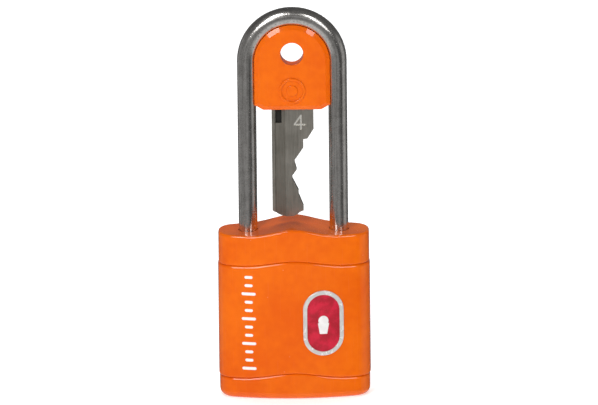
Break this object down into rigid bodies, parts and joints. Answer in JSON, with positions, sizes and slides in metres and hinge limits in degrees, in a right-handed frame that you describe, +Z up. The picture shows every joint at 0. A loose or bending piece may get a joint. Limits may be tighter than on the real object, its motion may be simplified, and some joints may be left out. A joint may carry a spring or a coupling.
{
  "type": "keyed luggage padlock",
  "caption": "Small keyed luggage padlock with a banded plastic body, a long lifting steel shackle, a turning lock plug and a key parked inside the shackle.",
  "frame": {"origin": "middle of the body's flat base", "axes": "+X to the right, -Y to the front with the badge, +Z up along the shackle legs"},
  "size_m": [0.03, 0.0126, 0.0788],
  "materials": {
    "orange_plastic": "glossy moulded plastic",
    "badge_silver": "bright plated rim",
    "badge_red": "glossy enamel",
    "badge_white": "glossy enamel",
    "cast_zinc": "as cast",
    "rivet_steel": "plain steel",
    "shackle_steel": "satin drawn steel",
    "spring_steel": "oiled spring steel",
    "lock_brass": "machined",
    "nickel_silver": "milled nickel silver"
  },
  "bodies": {
    "lock_body": {"top_cap": "orange_plastic", "middle_sleeve": "orange_plastic", "base_cap": "orange_plastic", "badge_rim": "badge_silver", "badge_inlay": "badge_red", "badge_keyhole": "badge_white", "core_front": "cast_zinc", "core_back": "cast_zinc", "core_rivets": "rivet_steel", "heel_pin": "rivet_steel", "spring_seat": "lock_brass", "shackle_spring": "spring_steel"},
    "shackle": {"shackle": "shackle_steel"},
    "plug": {"plug": "lock_brass", "plug_clip": "spring_steel", "cam": "cast_zinc", "cam_screw": "rivet_steel", "wafer_springs": "spring_steel"},
    "locking_bolt": {"locking_bolt": "rivet_steel"},
    "key": {"key_blade": "nickel_silver", "key_bow": "orange_plastic"},
    "wafer_1": {"wafer_1": "lock_brass"},
    "wafer_2": {"wafer_2": "lock_brass"},
    "wafer_3": {"wafer_3": "lock_brass"},
    "wafer_4": {"wafer_4": "lock_brass"}
  },
  "joints": [
    {"name": "shackle_lift", "type": "slide", "parent": "lock_body", "child": "shackle", "axis": [0, 0, 1], "range_m": [0, 0.0123], "deforming": ["shackle_spring"]},
    {"name": "plug_turn", "type": "hinge", "parent": "lock_body", "child": "plug", "pos_m": [0, 0, 0.0005], "axis": [0, 0, -1], "range_deg": [0, 180]},
    {"name": "bolt_slide", "type": "slide", "parent": "lock_body", "child": "locking_bolt", "axis": [1, 0, 0], "range_m": [0, 0.0028]},
    {"name": "wafer_1_slide", "type": "slide", "parent": "plug", "child": "wafer_1", "axis": [1, 0, 0], "range_m": [-0.0017, 0.0004], "deforming": ["wafer_springs"]},
    {"name": "wafer_2_slide", "type": "slide", "parent": "plug", "child": "wafer_2", "axis": [1, 0, 0], "range_m": [-0.0022, 0.0004], "deforming": ["wafer_springs"]},
    {"name": "wafer_3_slide", "type": "slide", "parent": "plug", "child": "wafer_3", "axis": [1, 0, 0], "range_m": [-0.001, 0.0004], "deforming": ["wafer_springs"]},
    {"name": "wafer_4_slide", "type": "slide", "parent": "plug", "child": "wafer_4", "axis": [1, 0, 0], "range_m": [-0.00005, 0.0004], "deforming": ["wafer_springs"]},
    {"name": "key_pull_out", "type": "slide", "parent": "lock_body", "child": "key", "axis": [0, -1, 0], "range_m": [0, 0.02]}
  ],
  "couplings": [
    {"joint": "bolt_slide", "follows": "plug_turn", "m_per_rad": 0.00089127}
  ]
}
